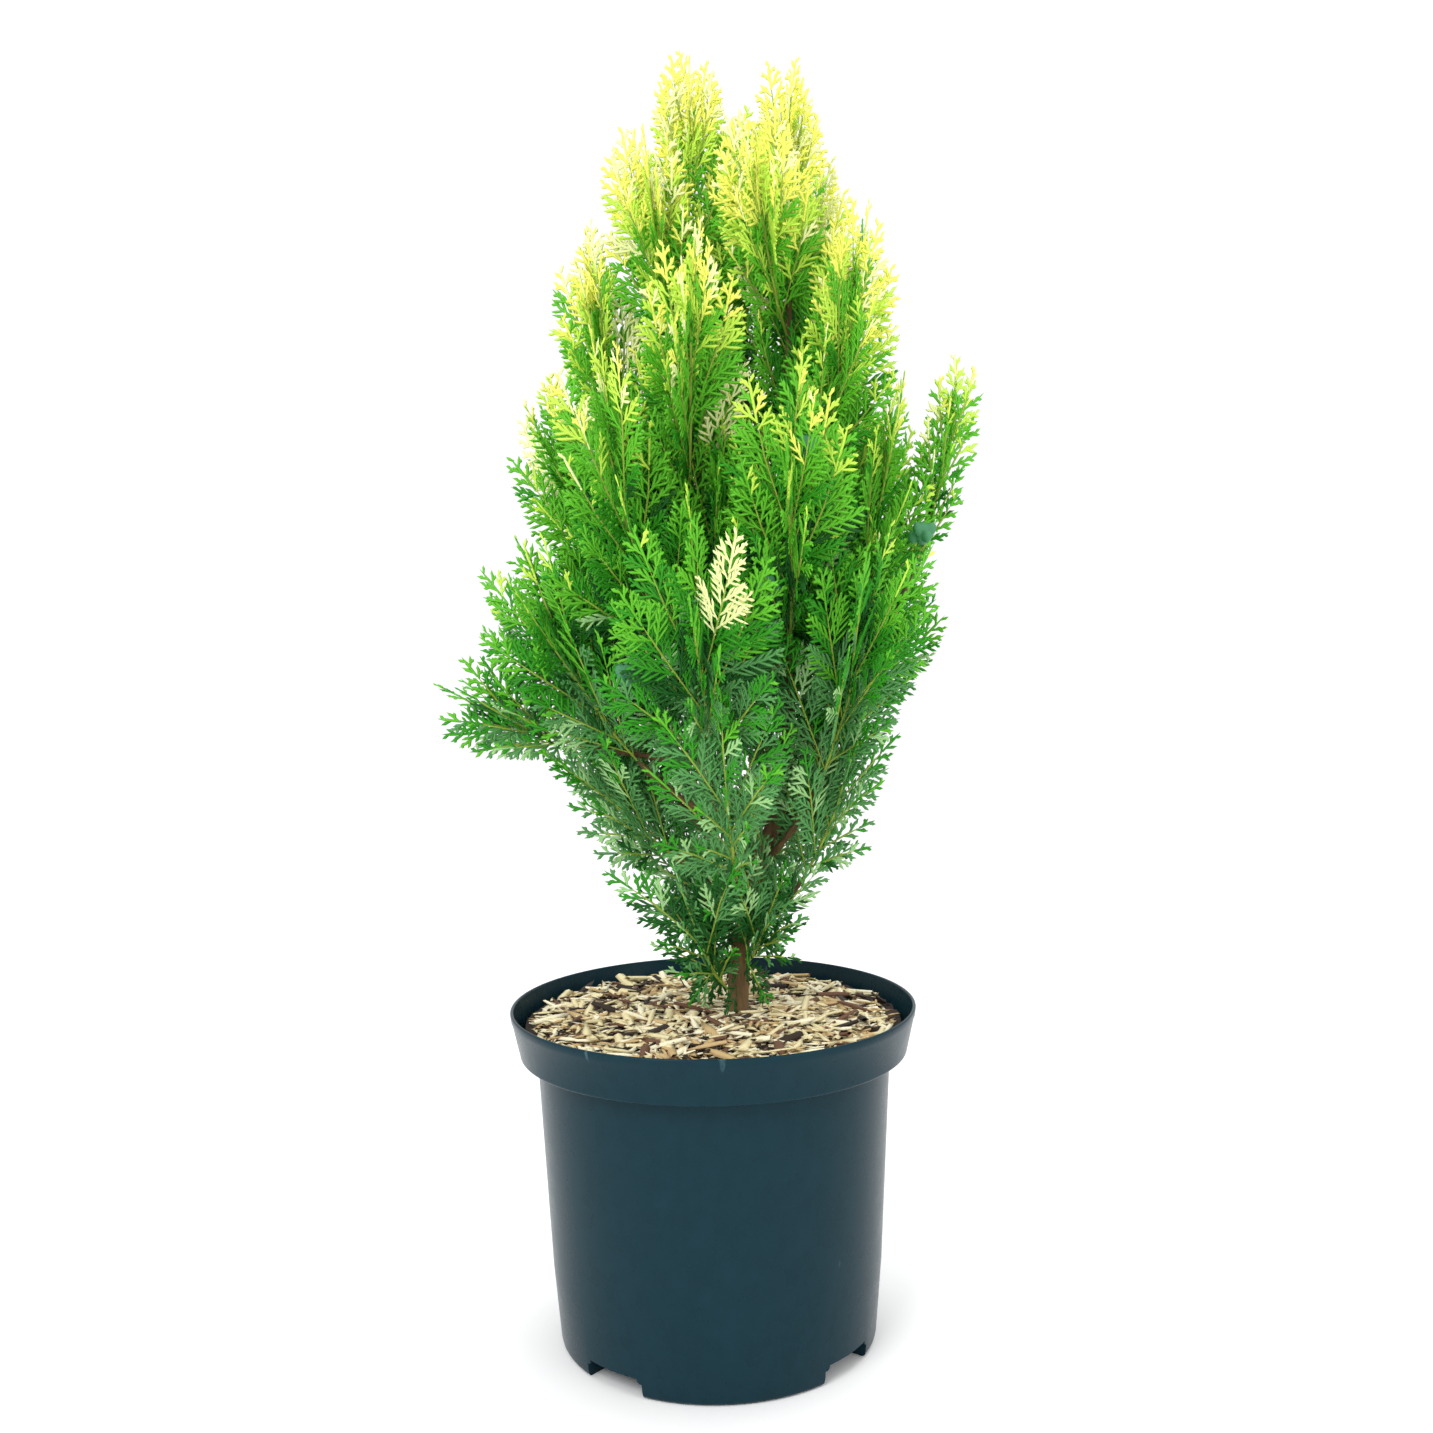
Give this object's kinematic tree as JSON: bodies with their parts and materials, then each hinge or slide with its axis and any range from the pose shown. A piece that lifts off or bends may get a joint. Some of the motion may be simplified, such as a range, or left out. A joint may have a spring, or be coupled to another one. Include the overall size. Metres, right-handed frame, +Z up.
{
  "type": "potted oriental arborvitae",
  "caption": "Young conifer with flat fan-like sprays in an egg-shaped crown on a forked trunk, standing in a round plastic nursery pot topped with wood chips.",
  "frame": {"origin": "middle of the pot's flat underside, where it stands", "axes": "+Z up the plant, -Y to the front, +X to the right seen from the front"},
  "size_m": [0.3589, 0.322, 0.8202],
  "materials": {
    "pot_plastic": "moulded, semi-gloss",
    "peat": "matt, crumbly",
    "chips": "raw split wood",
    "bark": "rough, stringy",
    "gold_foliage": "waxy scale leaves",
    "green_foliage": "waxy scale leaves",
    "deep_foliage": "waxy scale leaves",
    "blue_foliage": "waxy scale leaves, bluish"
  },
  "bodies": {
    "root": {"bough_belly_1": "bark", "bough_belly_2": "bark", "bough_belly_3": "bark", "bough_belly_4": "bark", "bough_belly_5": "bark", "bough_belly_6": "bark", "bough_drooping_left": "bark", "bough_low_1": "bark", "bough_low_2": "bark", "bough_low_3": "bark", "bough_low_4": "bark", "bough_low_5": "bark", "bough_outer_right": "bark", "foliage_belly_1": "deep_foliage", "foliage_belly_2": "deep_foliage", "foliage_belly_3": "deep_foliage", "foliage_belly_4": "deep_foliage", "foliage_belly_5": "deep_foliage", "foliage_belly_6": "deep_foliage", "foliage_drooping_left": "green_foliage", "foliage_inner_1": "green_foliage", "foliage_inner_2": "green_foliage", "foliage_inner_3": "green_foliage", "foliage_left_leader_top": "gold_foliage", "foliage_low_1": "blue_foliage", "foliage_low_2": "blue_foliage", "foliage_low_3": "blue_foliage", "foliage_low_4": "blue_foliage", "foliage_low_5": "blue_foliage", "foliage_mid_1": "green_foliage", "foliage_mid_2": "green_foliage", "foliage_mid_3": "green_foliage", "foliage_mid_4": "green_foliage", "foliage_mid_5": "green_foliage", "foliage_mid_6": "green_foliage", "foliage_middle_leader_top": "gold_foliage", "foliage_outer_right": "green_foliage", "foliage_shoulder_1": "gold_foliage", "foliage_shoulder_2": "gold_foliage", "foliage_shoulder_3": "gold_foliage", "foliage_shoulder_4": "gold_foliage", "foliage_skirt_1": "blue_foliage", "foliage_skirt_2": "blue_foliage", "foliage_skirt_3": "blue_foliage", "foliage_skirt_4": "blue_foliage", "foliage_trunk_top": "gold_foliage", "foliage_upper_1": "gold_foliage", "foliage_upper_2": "gold_foliage", "foliage_upper_3": "gold_foliage", "foliage_upper_4": "gold_foliage", "foliage_upper_5": "gold_foliage", "left_leader": "bark", "middle_leader": "bark", "pot": "pot_plastic", "potting_mix": "peat", "trunk": "bark", "wood_chips": "chips"}
  },
  "joints": []
}
